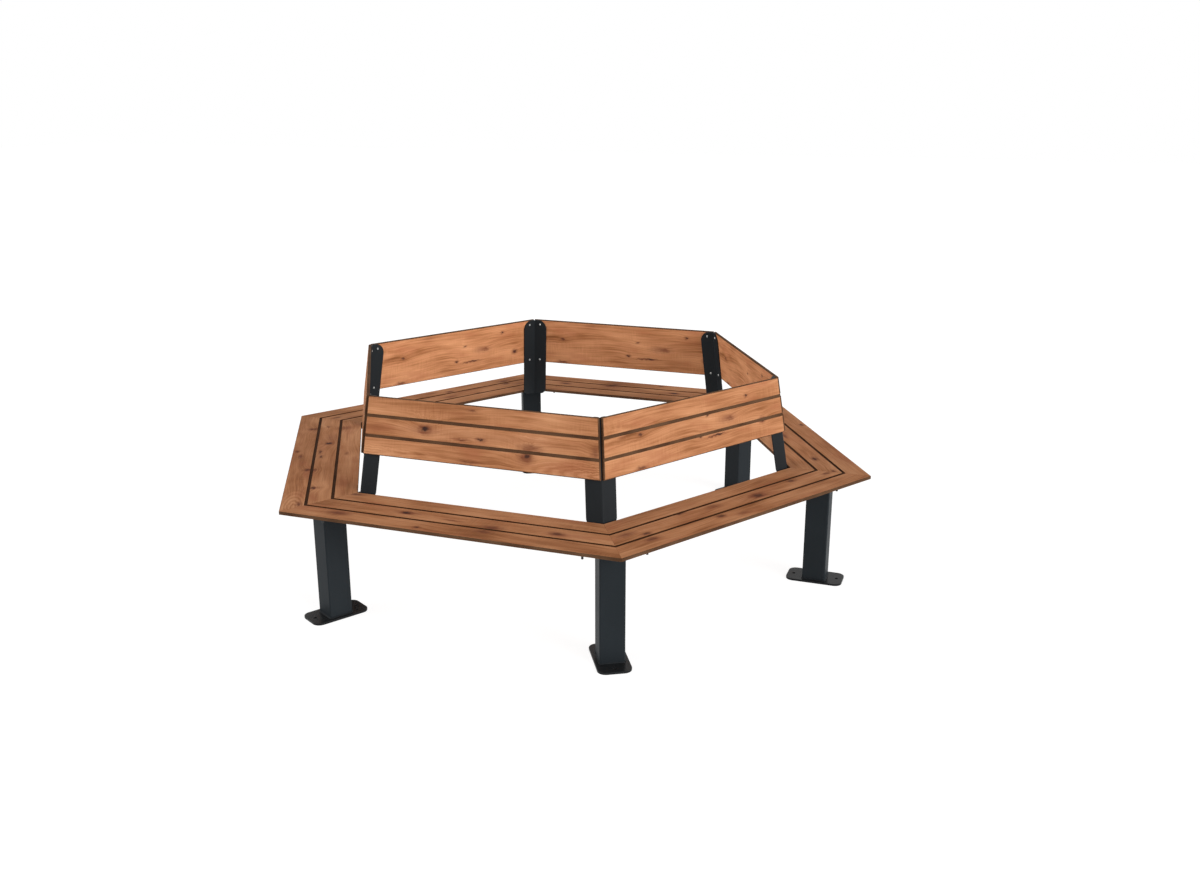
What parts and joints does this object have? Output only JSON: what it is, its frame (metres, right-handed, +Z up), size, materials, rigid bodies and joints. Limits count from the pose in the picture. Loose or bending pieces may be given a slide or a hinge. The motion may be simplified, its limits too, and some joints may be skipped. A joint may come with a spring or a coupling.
{
  "type": "tree bench",
  "caption": "Hexagonal ring bench that goes round a tree trunk: grooved board seat and low leaning backrest on folded steel supports and square steel legs with bolt-down base plates.",
  "frame": {"origin": "middle of the hexagon at ground level, under the middle of the bounding box", "axes": "+Z up; +X through corner 1 of the hexagon; +Y through the middle of side 2"},
  "size_m": [2.547, 2.206, 0.8095],
  "materials": {
    "seat_board": "satin wood-decor laminate",
    "back_board": "satin wood-decor laminate",
    "support_coat": "fine-texture powder coat",
    "leg_coat": "fine-texture powder coat",
    "base_coat": "fine-texture powder coat",
    "top_plate_coat": "fine-texture powder coat",
    "back_screw_steel": "satin",
    "seat_fastener_steel": "satin"
  },
  "bodies": {
    "root": {"seat_panel_1": "seat_board", "seat_panel_2": "seat_board", "seat_panel_3": "seat_board", "seat_panel_4": "seat_board", "seat_panel_5": "seat_board", "seat_panel_6": "seat_board", "back_panel_1": "back_board", "back_panel_2": "back_board", "back_panel_3": "back_board", "back_panel_4": "back_board", "back_panel_5": "back_board", "back_panel_6": "back_board", "back_support_1": "support_coat", "back_support_2": "support_coat", "back_support_3": "support_coat", "back_support_4": "support_coat", "back_support_5": "support_coat", "back_support_6": "support_coat", "leg_tube_1": "leg_coat", "leg_tube_2": "leg_coat", "leg_tube_3": "leg_coat", "leg_tube_4": "leg_coat", "leg_tube_5": "leg_coat", "leg_tube_6": "leg_coat", "base_plate_1": "base_coat", "base_plate_2": "base_coat", "base_plate_3": "base_coat", "base_plate_4": "base_coat", "base_plate_5": "base_coat", "base_plate_6": "base_coat", "leg_top_plate_1": "top_plate_coat", "leg_top_plate_2": "top_plate_coat", "leg_top_plate_3": "top_plate_coat", "leg_top_plate_4": "top_plate_coat", "leg_top_plate_5": "top_plate_coat", "leg_top_plate_6": "top_plate_coat", "back_screws": "back_screw_steel", "seat_studs": "seat_fastener_steel", "seat_nuts": "seat_fastener_steel"}
  },
  "joints": []
}
